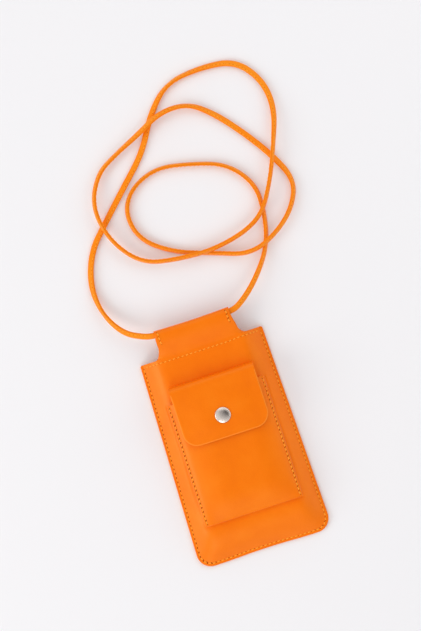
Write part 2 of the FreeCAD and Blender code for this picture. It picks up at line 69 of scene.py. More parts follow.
# What the leather does beyond the CAD model. Rubbed and skived edges, by width and depth
EASED, EASED_DEPTH = 0.55, 0.3
FLAP_SKIVE, FLAP_SKIVE_DEPTH = 0.9, 0.5
# Its rise from a seam: the flat strip, the reach, how gently it starts and how soon it levels out
SIDE_RISE, BOTTOM_RISE = (2.0, 18, 1.3, 2.6), (2.0, 25, 1.15, 2.2)
POCKET_SIDE_RISE, POCKET_LOW_RISE = (2.4, 23, 1.0, 2.0), (1.6, 19, 1.0, 2.0)
# Its dents, by depth and width: under stitches, below the pocket's fold and beside the pocket's seams
SEAM_DENT, TOP_DENT, POCKET_DENT = (0.14, 0.8), (0.16, 0.9), (0.2, 0.7)
FOLD_DENT, SIDE_CREASE = (0.55, 1.3), (0.8, 0.9)
# Its unevenness, and how far a face is sunk to stay inside the solid with it
BROAD_RIPPLE, FINE_RIPPLE, NECK_RIPPLE, POCKET_RIPPLE, FLAP_RIPPLE = 0.18, 0.07, 0.12, 0.12, 0.1
PANEL_SINK, POCKET_SINK = 0.2, 0.1
# How far the panels are drawn out of their true plan: lower corners, right shoulder and neck
CORNER_DRAWN, SHOULDER_DRAWN = 0.8, 0.7
NECK_LEAN, NECK_FLARE, NECK_ARCH, NECK_TILT = 1.0, 1.0, 0.35, 0.25
# Share of the neck's rise that starts level, and powers that make the folds squarer than round
NECK_LEVEL, POCKET_FOLD_POWER, HINGE_POWER = 0.45, 0.6, 0.65
# Lift of the pocket's upper corners, the flap's droop and its swell round the snap
MOUTH_LIFT = 1.0
FLAP_SIDE_DROOP, FLAP_END_DROOP, FLAP_LIFT = 0.9, 0.7, 0.35
# On the slope the upper face of the pocket's back wall reaches out, so it is cut in to end flush with the front.
# It lies a small gap over the panel
BACK_WALL_INSET, LAYER_GAP = 0.75, 0.05
# The back panel's outer face is raised, so that its stitches have room over the floor
BACK_FACE_Z, BACK_STITCH_Z = 0.4, 0.5


# Small helpers


def smooth(distance, over=1.0):
    """A smooth step from 0 to 1 over a distance, level at both ends."""
    t = min(1.0, max(0.0, distance / over))
    return t * t * t * (t * (6 * t - 15) + 10)


def pillow(t, power=1.9):
    """A rise from 0 to 1 that starts steep and ends level, as leather does over something soft."""
    return 1 - (1 - min(1.0, max(0.0, t))) ** power


def rise(distance, flat, reach, start, power):
    """The rise of leather from 0 to 1, from its distance inside a seam."""
    return pillow((max(0.0, distance - flat) / reach) ** start, power)


def bell(distance, width):
    """1 where there is no distance, falling off to both sides."""
    return math.exp(-((distance / width) ** 2))


def dent(distance, depth, width):
    """How deep a dent is at a distance from its middle."""
    return depth * bell(distance, width)


def ripple(x, y, size, seed=0.0):
    """Gentle unevenness of hand-worked leather, between about -1 and 1."""
    return noise.noise(Vector((x / size, y / size, seed)))


def spread(low, high, step):
    """Evenly spaced numbers from low to high, about step apart."""
    count = max(1, round((high - low) / step))
    return [low + (high - low) * i / count for i in range(count + 1)]


def joined(*runs):
    """Several runs of numbers as one, without repeats."""
    return sorted({round(v, 6) for run in runs for v in run})


def mirrored(*runs):
    """Shares of a half width, given as runs from the middle out, on both sides of the middle."""
    side = joined(*runs)
    return sorted({-s for s in side} | set(side))


def arc(radius, offset):
    """Height of a circle's edge over its middle, at an offset from it."""
    return math.sqrt(max(0.0, radius**2 - offset**2))


def corner_rows(edge, radius, step):
    """Rows round a corner, from its edge inwards. The radius is negative at an upper edge."""
    return [edge + radius * (1 - math.cos(a)) for a in spread(0, math.pi / 2, step)]


def inside_corner(across, along, radius):
    """Distance inside an outline, from the distances to its side and its end, which meet in a round corner."""
    if across < radius and along < radius:
        return radius - math.hypot(radius - across, radius - along)
    return min(across, along)


def mesh_object(name, points, faces, materials):
    """A mesh from points in millimetres."""
    mesh = bpy.data.meshes.new(name)
    mesh.from_pydata([tuple(c * MM for c in p) for p in points], [], faces)
    mesh.update()
    for material in materials:
        mesh.materials.append(material)
    mesh.shade_smooth()
    piece = bpy.data.objects.new(name, mesh)
    scene.collection.objects.link(piece)
    return piece


def grid_faces(rows, columns, start=0, flip=False):
    """Faces between the points of a grid."""
    faces = []
    for r in range(rows - 1):
        for c in range(columns - 1):
            a = start + r * columns + c
            quad = (a, a + 1, a + columns + 1, a + columns)
            faces.append(quad[::-1] if flip else quad)
    return faces


def sheet_object(name, grids, leather, thickness, flip=False):
    """Leather cut to a thickness: its outer face is given as grids of points that share their borders."""
    points, faces = [], []
    for grid in grids:
        faces += grid_faces(len(grid), len(grid[0]), len(points), flip)
        points += [p for row in grid for p in row]
    piece = mesh_object(name, points, faces, leather)
    form = bmesh.new()
    form.from_mesh(piece.data)
    bmesh.ops.remove_doubles(form, verts=form.verts, dist=0.01 * MM)
    form.to_mesh(piece.data)
    form.free()
    solid = piece.modifiers.new("thickness", "SOLIDIFY")
    solid.thickness = thickness * MM
    solid.offset = -1
    solid.material_offset = len(leather) - 1
    solid.material_offset_rim = 1
    return piece


# Materials


def new_material(name):
    """A material with its nodes and its shader."""
    material = bpy.data.materials.new(name)
    material.use_nodes = True
    tree = material.node_tree
    shader = tree.nodes["Principled BSDF"]
    return material, tree, shader


def add(tree, kind, **settings):
    """A new node, with settings for its inputs or for itself."""
    node = tree.nodes.new(kind)
    for key, setting in settings.items():
        if key in node.inputs:
            node.inputs[key].default_value = setting
        else:
            setattr(node, key, setting)
    return node


def place_texture(tree):
    """The place of a point on its object."""
    return add(tree, "ShaderNodeTexCoord").outputs["Object"]


def ramp(tree, source, stops):
    """A colour ramp over a value, as (position, colour) stops."""
    node = add(tree, "ShaderNodeValToRGB")
    elements = node.color_ramp.elements
    while len(elements) < len(stops):
        elements.new(0.5)
    for element, (position, colour) in zip(elements, stops):
        element.position = position
        element.color = (*colour, 1)
    tree.links.new(source, node.inputs["Fac"])
    return node.outputs["Color"]


def multiplied(tree, colour, share, factor=1.0):
    """A colour multiplied by another."""
    product = add(tree, "ShaderNodeMix", data_type="RGBA", blend_type="MULTIPLY")
    product.inputs["Factor"].default_value = factor
    tree.links.new(colour, product.inputs["A"])
    tree.links.new(share, product.inputs["B"])
    return product.outputs["Result"]


def vary_roughness(tree, shader, source, low, high):
    """Roughness that follows a texture."""
    gloss = add(tree, "ShaderNodeMapRange")
    gloss.inputs["To Min"].default_value = low
    gloss.inputs["To Max"].default_value = high
    tree.links.new(source, gloss.inputs["Value"])
    tree.links.new(gloss.outputs["Result"], shader.inputs["Roughness"])


def raise_relief(tree, shader, source, strength, depth):
    """Relief that follows a texture."""
    bump = add(tree, "ShaderNodeBump", Strength=strength, Distance=depth)
    tree.links.new(source, bump.inputs["Height"])
    tree.links.new(bump.outputs["Normal"], shader.inputs["Normal"])


def leather_material(name, colour, light, dark, roughness, grain, depth):
    """Smooth grain leather: pores and creases in relief, slow changes of colour and gloss."""
    material, tree, shader = new_material(name)
    where = place_texture(tree)
    patch = add(tree, "ShaderNodeTexNoise", Scale=55.0, Detail=4.0, Roughness=0.6)
    tree.links.new(where, patch.inputs["Vector"])
    tone = ramp(tree, patch.outputs["Fac"], [(0.3, dark), (0.5, colour), (0.72, light)])
    pores = add(tree, "ShaderNodeTexVoronoi", Scale=grain, Randomness=1.0)
    creases = add(tree, "ShaderNodeTexNoise", Scale=grain * 0.35, Detail=5.0, Roughness=0.65)
    for texture in (pores, creases):
        tree.links.new(where, texture.inputs["Vector"])
    speck = ramp(tree, pores.outputs["Distance"], [(0.0, (0.9, 0.86, 0.8)), (0.35, (1, 1, 1))])
    tree.links.new(multiplied(tree, tone, speck, factor=0.6), shader.inputs["Base Color"])
    vary_roughness(tree, shader, creases.outputs["Fac"], low=roughness - 0.06, high=roughness + 0.08)
    relief = add(tree, "ShaderNodeMath", operation="ADD")
    tree.links.new(pores.outputs["Distance"], relief.inputs[0])
    tree.links.new(creases.outputs["Fac"], relief.inputs[1])
    raise_relief(tree, shader, relief.outputs["Value"], strength=0.35, depth=depth)
    shader.inputs["Specular IOR Level"].default_value = 0.4
    shader.inputs["Specular Tint"].default_value = (1.0, 0.82, 0.36, 1)
    return material


def fibre_material(name, colour, dark, scale, roughness, depth):
    """Fibres: cut edges, the rough side of leather, and thread."""
    material, tree, shader = new_material(name)
    where = place_texture(tree)
    fibre = add(tree, "ShaderNodeTexNoise", Scale=scale, Detail=6.0, Roughness=0.7)
    tree.links.new(where, fibre.inputs["Vector"])
    tone = ramp(tree, fibre.outputs["Fac"], [(0.3, dark), (0.65, colour)])
    tree.links.new(tone, shader.inputs["Base Color"])
    raise_relief(tree, shader, fibre.outputs["Fac"], strength=0.5, depth=depth)
    shader.inputs["Roughness"].default_value = roughness
    shader.inputs["Specular IOR Level"].default_value = 0.06
    return material


def metal_material(name, colour, roughness):
    """Plated metal with fine handling marks."""
    material, tree, shader = new_material(name)
    where = place_texture(tree)
    marks = add(tree, "ShaderNodeTexNoise", Scale=900.0, Detail=5.0, Roughness=0.6)
    tree.links.new(where, marks.inputs["Vector"])
    tone = ramp(tree, marks.outputs["Fac"], [(0.3, tuple(c * 0.92 for c in colour)), (0.7, colour)])
    tree.links.new(tone, shader.inputs["Base Color"])
    vary_roughness(tree, shader, marks.outputs["Fac"], low=roughness * 0.7, high=roughness * 1.4)
    shader.inputs["Metallic"].default_value = 1.0
    return material


face_leather = leather_material(
    "orange_leather", (0.955, 0.186, 0.0), light=(0.97, 0.203, 0.002), dark=(0.93, 0.172, 0.0),
    roughness=0.36, grain=1150.0, depth=0.00012)
cord_leather = leather_material(
    "cord_leather", (1.0, 0.26, 0.003), light=(1.0, 0.29, 0.008), dark=(0.97, 0.23, 0.0),
    roughness=0.42, grain=1500.0, depth=0.0001)
cut_edge = fibre_material("cut_edge", (1.0, 0.36, 0.06), (0.95, 0.27, 0.03), 2200.0, 0.7, 0.0001)
# The flap's rim and skived border: lighter, partly the burnished edge's own colour and partly a painted highlight
flap_edge_and_highlight = fibre_material("flap_edge_and_highlight", (1.0, 0.275, 0.026), (0.97, 0.24, 0.018), 2200.0, 0.6, 0.0001)
strap_edge = fibre_material("strap_edge", (1.0, 0.3, 0.015), (0.96, 0.25, 0.008), 2200.0, 0.6, 0.0001)
rough_side = fibre_material("rough_side", (0.82, 0.26, 0.06), (0.66, 0.17, 0.03), 1600.0, 0.85, 0.00015)
thread = fibre_material("waxed_thread", (1.0, 0.48, 0.06), (1.0, 0.37, 0.03), 2600.0, 0.55, 0.0001)
# The needle's holes: a dark colour that is painted shade of their recesses
needle_hole_shade = fibre_material("needle_hole_shade", (0.46, 0.06, 0.0), (0.34, 0.042, 0.0), 2000.0, 0.9, 0.00005)
nickel = metal_material("polished_nickel", (0.88, 0.77, 0.69), 0.22)
steel = metal_material("spring_steel", (0.5, 0.5, 0.52), 0.3)
# Materials of a sheet: face, rim and rough side. The flap's skived border takes one slot more, in the lighter edge
# colour that is partly a painted highlight
LEATHER = [face_leather, cut_edge, rough_side]
FLAP_LEATHER = [face_leather, flap_edge_and_highlight, flap_edge_and_highlight, rough_side]
SKIVED_SLOT = 1


# Forms of the leather pieces, as heights over the plan


def eased(inside):
    """How far a cut edge is rubbed down, from the distance inside it."""
    return EASED_DEPTH * (1 - pillow(inside / EASED))


def edge_half(y):
    """Half the width of the panels between their slanting sides."""
    return POUCH_HALF - (POUCH_HALF - SHOULDER_HALF) * (y - BOTTOM_Y) / (SHOULDER_Y - BOTTOM_Y)


def panel_half(y):
    """Half the width of the panels, with their rounded corners."""
    half = edge_half(y)
    low = y - (BOTTOM_Y + CORNER_RADIUS)
    if low < 0:
        half += arc(CORNER_RADIUS, low) - CORNER_RADIUS
    high = y - (SHOULDER_Y - SHOULDER_RADIUS)
    if high > 0:
        half += arc(SHOULDER_RADIUS, high) - SHOULDER_RADIUS
    return half


def from_seam(x, y):
    """Distance in from the sewn edge: both sides and the bottom."""
    return inside_corner(edge_half(y) - abs(x), y - BOTTOM_Y, CORNER_RADIUS)


def front_height(x, y):
    """The front panel's outer face: a flat seam allowance, then a swell over the phone that is gentle
    along the bottom."""
    inside = from_seam(x, y)
    swell = rise(edge_half(y) - abs(x), *SIDE_RISE) * rise(y - BOTTOM_Y, *BOTTOM_RISE)
    height = BORDER_TOP + (PANEL_TOP - BORDER_TOP) * swell
    height -= dent(inside - STITCH_INSET, *SEAM_DENT)
    height -= dent(y - (SHOULDER_Y - STITCH_INSET), *TOP_DENT)
    height -= dent(y - POCKET_LOW_Y + 1.0, *FOLD_DENT) * smooth(POCKET_HALF + 2 - abs(x), over=3)
    beside = smooth(y - POCKET_LOW_Y, over=25) * smooth(MOUTH_Y + 2 - y, over=3)
    height -= dent(abs(x) - POCKET_HALF - 0.1, *SIDE_CREASE) * beside
    uneven = BROAD_RIPPLE * ripple(x, y, size=34.0) + FINE_RIPPLE * ripple(x, y, size=11.0, seed=3.0)
    return height - PANEL_SINK + smooth(inside - 4, over=8) * uneven - eased(inside)


def settled(x, y, z):
    """Where a point of the panels comes to lie: the lower corners stand out a little beyond the middle of
    the bottom edge, the right shoulder is drawn up, and the neck leans to one side with its upper corners
    drawn out by the cord."""
    low = CORNER_DRAWN * smooth(abs(x), over=42) * (1 - smooth(y - BOTTOM_Y, over=30))
    lean = smooth(y - SHOULDER_Y - 4, over=12)
    high = SHOULDER_DRAWN * smooth(x - 18, over=15) * smooth(y - SHOULDER_Y + 12, over=12) * (1 - lean)
    drawn = lean * (NECK_ARCH * (x / 25) ** 2 + NECK_TILT * smooth(x, over=28))
    flare = smooth(-x, over=30) * bell(y - SHOULDER_Y - 3.8, width=2.8)
    return (x - NECK_LEAN * lean - NECK_FLARE * flare, y - low + drawn + high, z)


def panel_rows():
    """Heights at which the panels' rows lie, closer round the corners."""
    low = corner_rows(BOTTOM_Y, CORNER_RADIUS, step=0.075)
    high = corner_rows(SHOULDER_Y, -SHOULDER_RADIUS, step=0.2)
    return joined(low, spread(BOTTOM_Y + CORNER_RADIUS, SHOULDER_Y - SHOULDER_RADIUS, 1.2), high)


# Share of the shoulders' half width at which the notches begin
NOTCH_SHARE = (NECK_BASE_HALF + NOTCH_RADIUS) / (SHOULDER_HALF - SHOULDER_RADIUS)


def panel_columns():
    """Shares of the half width, closer at the sides."""
    return mirrored(spread(0, NOTCH_SHARE, 0.03), spread(NOTCH_SHARE, 1, 0.01))


def back_piece():
    """The back panel, flat on the floor but for the stitches on its outer face."""
    grid = []
    for y in panel_rows():
        half = panel_half(y)
        grid.append([settled(s * half, y, BACK_FACE_Z) for s in panel_columns()])
    piece = sheet_object("back_leather", [grid], LEATHER, PANEL_LEATHER - BACK_FACE_Z, flip=True)
    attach(piece, "pouch")
    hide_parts("back_panel")


def neck_half(y):
    """Half the width of the neck, with the round notches at its foot."""
    up = y - SHOULDER_Y
    half = NECK_BASE_HALF - (NECK_BASE_HALF - NECK_TOP_HALF) * up / (FOLD_Y - SHOULDER_Y)
    left = NOTCH_RADIUS - up
    if left > 0:
        half += NOTCH_RADIUS - arc(NOTCH_RADIUS, left)
    return half


def neck_height(x, y):
    """The face of the neck's front layer, up to and over the fold."""
    if y > FOLD_Y:
        return FOLD_Z + arc(FOLD_RADIUS, y - FOLD_Y)
    t = (y - SHOULDER_Y) / (FOLD_Y - SHOULDER_Y)
    top = FOLD_Z + FOLD_RADIUS
    return PANEL_TOP + (top - PANEL_TOP) * (NECK_LEVEL * smooth(t) + (1 - NECK_LEVEL) * math.sin(t * math.pi / 2))


def front_piece():
    """The front panel, its neck and its tab, in one piece of leather."""
    columns = panel_columns()
    body = []
    for y in panel_rows():
        half = panel_half(y)
        body.append([(s * half, y, front_height(s * half, y)) for s in columns])
    inner = [i for i, s in enumerate(columns) if abs(s) <= NOTCH_SHARE + 1e-6]
    shoulder = [body[-1][i] for i in inner]
    neck = [shoulder]
    shares = [columns[i] / NOTCH_SHARE for i in inner]
    steps = joined(spread(0, NOTCH_RADIUS, 0.6), spread(NOTCH_RADIUS, FOLD_Y - SHOULDER_Y, 1.2))[1:]
    for up in steps:
        y = SHOULDER_Y + up
        half = neck_half(y)
        carry = 1 - smooth(up, over=8)
        uneven = NECK_RIPPLE * smooth(up, over=6) * (1 - smooth(up, over=18))
        row = []
        for s, foot in zip(shares, shoulder):
            lift = neck_height(s * half, y) + (foot[2] - PANEL_TOP) * carry
            row.append((s * half, y, lift + uneven * ripple(s * 30, y, size=12.0, seed=7.0)))
        neck.append(row)
    half = neck_half(FOLD_Y)
    for a in spread(0, math.pi, 0.16)[1:-1]:
        y = FOLD_Y + FOLD_RADIUS * math.sin(a)
        z = FOLD_Z + FOLD_RADIUS * math.cos(a)
        neck.append([(s * half, y, z) for s in shares])
    for y in reversed(spread(SHOULDER_Y - TAB_LAP, FOLD_Y, 1.5)):
        neck.append([(s * half, y, TAB_UNDER) for s in shares])
    grids = [[[settled(*p) for p in row] for row in grid] for grid in (body, neck)]
    piece = sheet_object("front_leather", grids, LEATHER, PANEL_LEATHER)
    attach(piece, "pouch")
    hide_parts("front_panel")


def pocket_height(x, y):
    """The pocket's front wall: sewn down along its sides, swelling softly between them."""
    across = POCKET_HALF - abs(x)
    swell = rise(across, *POCKET_SIDE_RISE) * rise(y - POCKET_LOW_Y, *POCKET_LOW_RISE)
    low = front_height(x, y) + POCKET_LAYERS
    height = low + (POCKET_TOP - POCKET_SINK - low) * swell
    height -= dent(across - POCKET_INSET, *POCKET_DENT)
    height += MOUTH_LIFT * bell(across - 0.6, width=2.2) * bell(MOUTH_Y - y, width=2.6)
    return height + swell * POCKET_RIPPLE * ripple(x, y, size=26.0, seed=11.0) - eased(across)


def pocket_piece():
    """The pocket's strip: back wall, tight fold along the bottom and front wall."""
    turn_y = POCKET_LOW_Y + POCKET_TURN
    columns = mirrored(spread(0, 0.68, 0.03), spread(0.68, 1, 0.012))

    def half_at(y):
        high = y - (MOUTH_Y - MOUTH_CORNER)
        if high > 0:
            return POCKET_HALF - MOUTH_CORNER + arc(MOUTH_CORNER, high)
        return POCKET_HALF

    mouth = corner_rows(MOUTH_Y, -MOUTH_CORNER, step=0.25)
    rows = joined(spread(turn_y, MOUTH_Y - MOUTH_CORNER, 1.2), mouth)
    grid = []
    for y in reversed(rows):
        half = half_at(y) - BACK_WALL_INSET
        grid.append([(s * half, y, front_height(s * half, y) + LAYER_GAP) for s in columns])
    lower = grid[-1]
    upper = [(s * POCKET_HALF, turn_y, pocket_height(s * POCKET_HALF, turn_y)) for s in columns]
    for a in spread(0, math.pi, 0.3)[1:-1]:
        y = turn_y - POCKET_TURN * math.sin(a) ** POCKET_FOLD_POWER
        share = (1 - math.cos(a)) / 2
        grid.append([(p[0] + (q[0] - p[0]) * share, y, p[2] + (q[2] - p[2]) * share) for p, q in zip(lower, upper)])
    for y in rows:
        half = half_at(y)
        grid.append([(s * half, y, pocket_height(s * half, y)) for s in columns])
    piece = sheet_object("pocket_leather", [grid], LEATHER, POCKET_LEATHER)
    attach(piece, "pouch")
    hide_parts("pocket_body")


def flap_half(y):
    """Half the width of the flap, with its rounded corners."""
    low = y - (FLAP_LOW_Y + FLAP_CORNER)
    if low < 0:
        return FLAP_HALF - FLAP_CORNER + arc(FLAP_CORNER, low)
    return FLAP_HALF


def flap_inside(x, y):
    """How far a point of the flap lies inside its outline."""
    return inside_corner(FLAP_HALF - abs(x), y - FLAP_LOW_Y, FLAP_CORNER)


def flap_height(x, y):
    """The flap's face: pulled down a little by the snap, drooping to its free edges, which are skived."""
    from_hinge = HINGE_Y - y
    droop = FLAP_SIDE_DROOP * smooth(abs(x) - 14, over=21) * smooth(from_hinge, over=18)
    droop += FLAP_END_DROOP * smooth(from_hinge - 26, over=17)
    from_snap = math.hypot(x, y - SNAP_Y)
    lift = FLAP_LIFT * bell(from_snap - 13, width=7) * smooth(from_hinge, over=8)
    skive = FLAP_SKIVE_DEPTH * (1 - pillow(flap_inside(x, y) / FLAP_SKIVE, power=1.3)) * smooth(from_hinge, over=3)
    uneven = FLAP_RIPPLE * ripple(x, y, size=18.0, seed=5.0) * smooth(from_hinge, over=10)
    return FLAP_TOP - droop + lift - skive + uneven


def flap_piece():
    """The flap and its bend, in one piece of leather."""
    columns = mirrored(spread(0, 0.7, 0.035), spread(0.7, 0.95, 0.025), spread(0.95, 1, 0.008))
    grid = []
    for y in spread(MOUTH_Y - 0.1, HINGE_Y, 1.0):
        grid.append([(s * FLAP_HALF, y, PANEL_TOP) for s in columns])
    for a in spread(0, math.pi, 0.09)[1:-1]:
        y = HINGE_Y + HINGE_RADIUS * math.sin(a) ** HINGE_POWER
        z = HINGE_Z - HINGE_RADIUS * math.cos(a)
        grid.append([(s * FLAP_HALF, y, z) for s in columns])
    low = corner_rows(FLAP_LOW_Y, FLAP_CORNER, step=0.09)
    for y in reversed(joined(low, spread(FLAP_LOW_Y + FLAP_CORNER, HINGE_Y, 1.0))):
        half = flap_half(y)
        grid.append([(s * half, y, flap_height(s * half, y)) for s in columns])
    piece = sheet_object("flap_leather", [grid], FLAP_LEATHER, POCKET_LEATHER, flip=True)
    # The skived border takes the lighter edge colour, partly a painted highlight
    for face in piece.data.polygons:
        x, y, z = face.center / MM
        if y < HINGE_Y and z > HINGE_Z and flap_inside(x, y) < FLAP_SKIVE:
            face.material_index = SKIVED_SLOT
    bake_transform(piece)
    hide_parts("pocket_flap", "flap_fold")


# Stitches. The needle's marks are dark with painted shade, and have one size at the left of the pouch and another
# at its right, larger where that shade shows more
SEAM_NEEDLE, TOP_NEEDLE, TACK_NEEDLE = (0.5, 0.32), (0.18, 0.18), (0.2, 0.34)
NEEDLE_GAP, STITCH_SLANT, STITCH_SINK = 0.25, 0.32, 0.02
TOP_STITCH_LENGTH, TOP_THREAD_RADIUS = 2.2, 0.33
# How far from the leather's ends the rows stop
SEAM_END, TOP_END, POCKET_ROW_LOW, POCKET_ROW_HIGH = 3.2, 1.5, 1.6, 2.0
# The tack's row over the fold, below and above the fold's middle
TACK_LOW, TACK_HIGH = 7.6, 2.2
STITCH_MATERIALS = [thread, needle_hole_shade]


def capsule(points, faces, marks, at, along, up, length, radius, sink):
    """The thread of a stitch: a bar that dips into the leather at both ends."""
    rings, around = 7, 8
    taper, proud, dive, flatness = 0.75, 0.55, 0.9, 0.9
    across = up.cross(along).normalized()
    base = len(points)
    for i in range(rings):
        t = i / (rings - 1) * 2 - 1
        width = radius * (1 - taper * t**4)
        middle = at + along * (t * length / 2) + up * (radius * (proud - dive * t**4) - sink)
        for k in range(around):
            a = 2 * math.pi * k / around
            points.append(middle + across * (width * math.cos(a)) + up * (width * math.sin(a) * flatness))
    for i in range(rings - 1):
        for k in range(around):
            a = base + i * around + k
            b = base + i * around + (k + 1) % around
            faces.append((a, b, b + around, a + around))
    faces.append(tuple(base + k for k in reversed(range(around))))
    faces.append(tuple(base + (rings - 1) * around + k for k in range(around)))
    marks += [0] * ((rings - 1) * around + 2)


def hole(points, faces, marks, at, along, up, radius):
    """The mark of the needle at the end of a stitch: a slanting slot, closed below, dark with painted shade."""
    around, stretch, middle, depth = 10, 1.7, 0.06, 0.25
    across = up.cross(along).normalized()
    slot = (along - across).normalized()
    width = up.cross(slot)
    base = len(points)
    points.append(at + up * middle)
    for size, lift in ((0.6, 0.08), (1.0, 0.03)):
        for k in range(around):
            a = 2 * math.pi * k / around
            points.append(at + (slot * (stretch * math.cos(a)) + width * math.sin(a)) * (radius * size) + up * lift)
    points.append(at - up * depth)
    inner, outer, below = base + 1, base + 1 + around, base + 1 + 2 * around
    for k in range(around):
        n = (k + 1) % around
        faces.append((base, inner + k, inner + n))
        faces.append((inner + k, outer + k, outer + n, inner + n))
        faces.append((outer + k, below, outer + n))
    marks += [1] * (3 * around)


def add_stitch(form, at, along, up, length, radius, sink, needle_at, needle):
    """One stitch, added to the points, faces and marks of a form: its thread and a needle's mark at each end, dark
    with painted shade.
    """
    capsule(*form, at, along, up, length, radius, sink)
    for end in (-1, 1):
        hole(*form, at + along * (end * needle_at), along, up, needle)


def marked_object(name, form, materials):
    """A mesh whose faces are marked with their materials."""
    points, faces, marks = form
    piece = mesh_object(name, points, faces, materials)
    piece.data.polygons.foreach_set("material_index", marks)
    return piece


def stitch_rows(name, rows, replaces, needle, length=STITCH_LENGTH, radius=THREAD_RADIUS):
    """Rows of stitches as one piece. A row is a list of (place, direction, up)."""
    form = [], [], []
    for row in rows:
        for at, along, up in row:
            along = (along + up.cross(along) * STITCH_SLANT).normalized()
            # The holes' painted shade is drawn larger on one side of the pouch than the other
            size = needle[0] + (needle[1] - needle[0]) * (at.x / POUCH_HALF + 1) / 2
            add_stitch(form, at, along, up, length, radius, STITCH_SINK, length / 2 + NEEDLE_GAP, size)
    piece = marked_object(name, form, STITCH_MATERIALS)
    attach(piece, "pouch")
    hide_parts(*replaces)


def along_path(path):
    """Evenly spaced places along a path of points, with its direction there."""
    runs = [(b - a).length for a, b in zip(path, path[1:])]
    count = round(sum(runs) / STITCH_PITCH)
    step = sum(runs) / count
    places, need, done = [], step / 2, 0.0
    for a, b, run in zip(path, path[1:], runs):
        while need <= done + run + 1e-9 and len(places) < count:
            places.append((a.lerp(b, (need - done) / run), (b - a).normalized()))
            need += step
        done += run
    return places


def on_surface(path, height):
    """Stitches along a path in plan, laid on a height."""
    probe = 0.4
    lifted = [Vector((p.x, p.y, height(p.x, p.y))) for p in path]
    row = []
    for at, along in along_path(lifted):
        slope_x = (height(at.x + probe, at.y) - height(at.x - probe, at.y)) / (2 * probe)
        slope_y = (height(at.x, at.y + probe) - height(at.x, at.y - probe)) / (2 * probe)
        row.append((Vector(settled(*at)), along, Vector((-slope_x, -slope_y, 1)).normalized()))
    return row


def seam_path():
    """The sewn line down one side, along the bottom and up the other side."""
    corner_y = BOTTOM_Y + CORNER_RADIUS
    radius = CORNER_RADIUS - STITCH_INSET
    heights = spread(corner_y, SHOULDER_Y - SEAM_END, 2)
    path = [Vector((-(edge_half(y) - STITCH_INSET), y, 0)) for y in reversed(heights)]
    for side in (-1, 1):
        centre = Vector((side * (edge_half(corner_y) - CORNER_RADIUS), corner_y, 0))
        turns = spread(0, math.pi / 2, 0.1)
        for a in (turns if side < 0 else reversed(turns)):
            path.append(centre + Vector((side * radius * math.cos(a), -radius * math.sin(a), 0)))
    path += [Vector((edge_half(y) - STITCH_INSET, y, 0)) for y in heights]
    return path


def stitch_pieces():
    """The seam on both faces of the pouch, the row along the shoulders, the pocket's sides and the tacks."""
    seam = seam_path()
    front = on_surface(seam, front_height)
    down = Vector((0, 0, -1))
    back = [(Vector(settled(at.x, at.y, BACK_STITCH_Z)), along, down) for at, along in along_path(seam)]
    stitch_rows("seam_stitches", [front, back], ["seam_thread"], SEAM_NEEDLE)

    top_y = SHOULDER_Y - STITCH_INSET
    reach = edge_half(top_y) - STITCH_INSET - TOP_END
    top = on_surface([Vector((x, top_y, 0)) for x in spread(-reach, reach, 1.0)], front_height)
    stitch_rows("top_stitches", [top], ["top_thread"], TOP_NEEDLE, TOP_STITCH_LENGTH, TOP_THREAD_RADIUS)

    for name, side in (("left", -1), ("right", 1)):
        x = side * (POCKET_HALF - POCKET_INSET)
        path = [Vector((x, y, 0)) for y in spread(POCKET_LOW_Y + POCKET_ROW_LOW, MOUTH_Y - POCKET_ROW_HIGH, 2.0)]
        row = on_surface(path, pocket_height)
        stitch_rows("pocket_stitches_" + name, [row], ["pocket_thread_" + name], SEAM_NEEDLE)
        x = side * (NECK_TOP_HALF - TACK_INSET)
        path = [Vector((x, y, 0)) for y in spread(FOLD_Y - TACK_LOW, FOLD_Y + TACK_HIGH, 0.7)]
        row = on_surface(path, neck_height)
        stitch_rows("tack_stitches_" + name, [row], ["tack_thread_" + name], TACK_NEEDLE)


# Cord
CORD_WIDTH, CORD_THICKNESS, LAYER, CORD_STEP = 4.5, 2.8, 4.4, 1.5
# The section is a little fuller than an ellipse, and it clears the floor
CORD_FULLER, CORD_CLEARANCE = 1.06, 0.12
# Its stitches: length, radius, how deep they sink, where the needle's marks lie and their size
STRAP_STITCH = (2.3, 0.24, 0.05, 1.3, 0.15)
# Where their rows lie in the section, and how many are left out at each end
STRAP_ROW_ACROSS, STRAP_ROW_UP, STRAP_PLAIN = 1.2, 1.15, 6
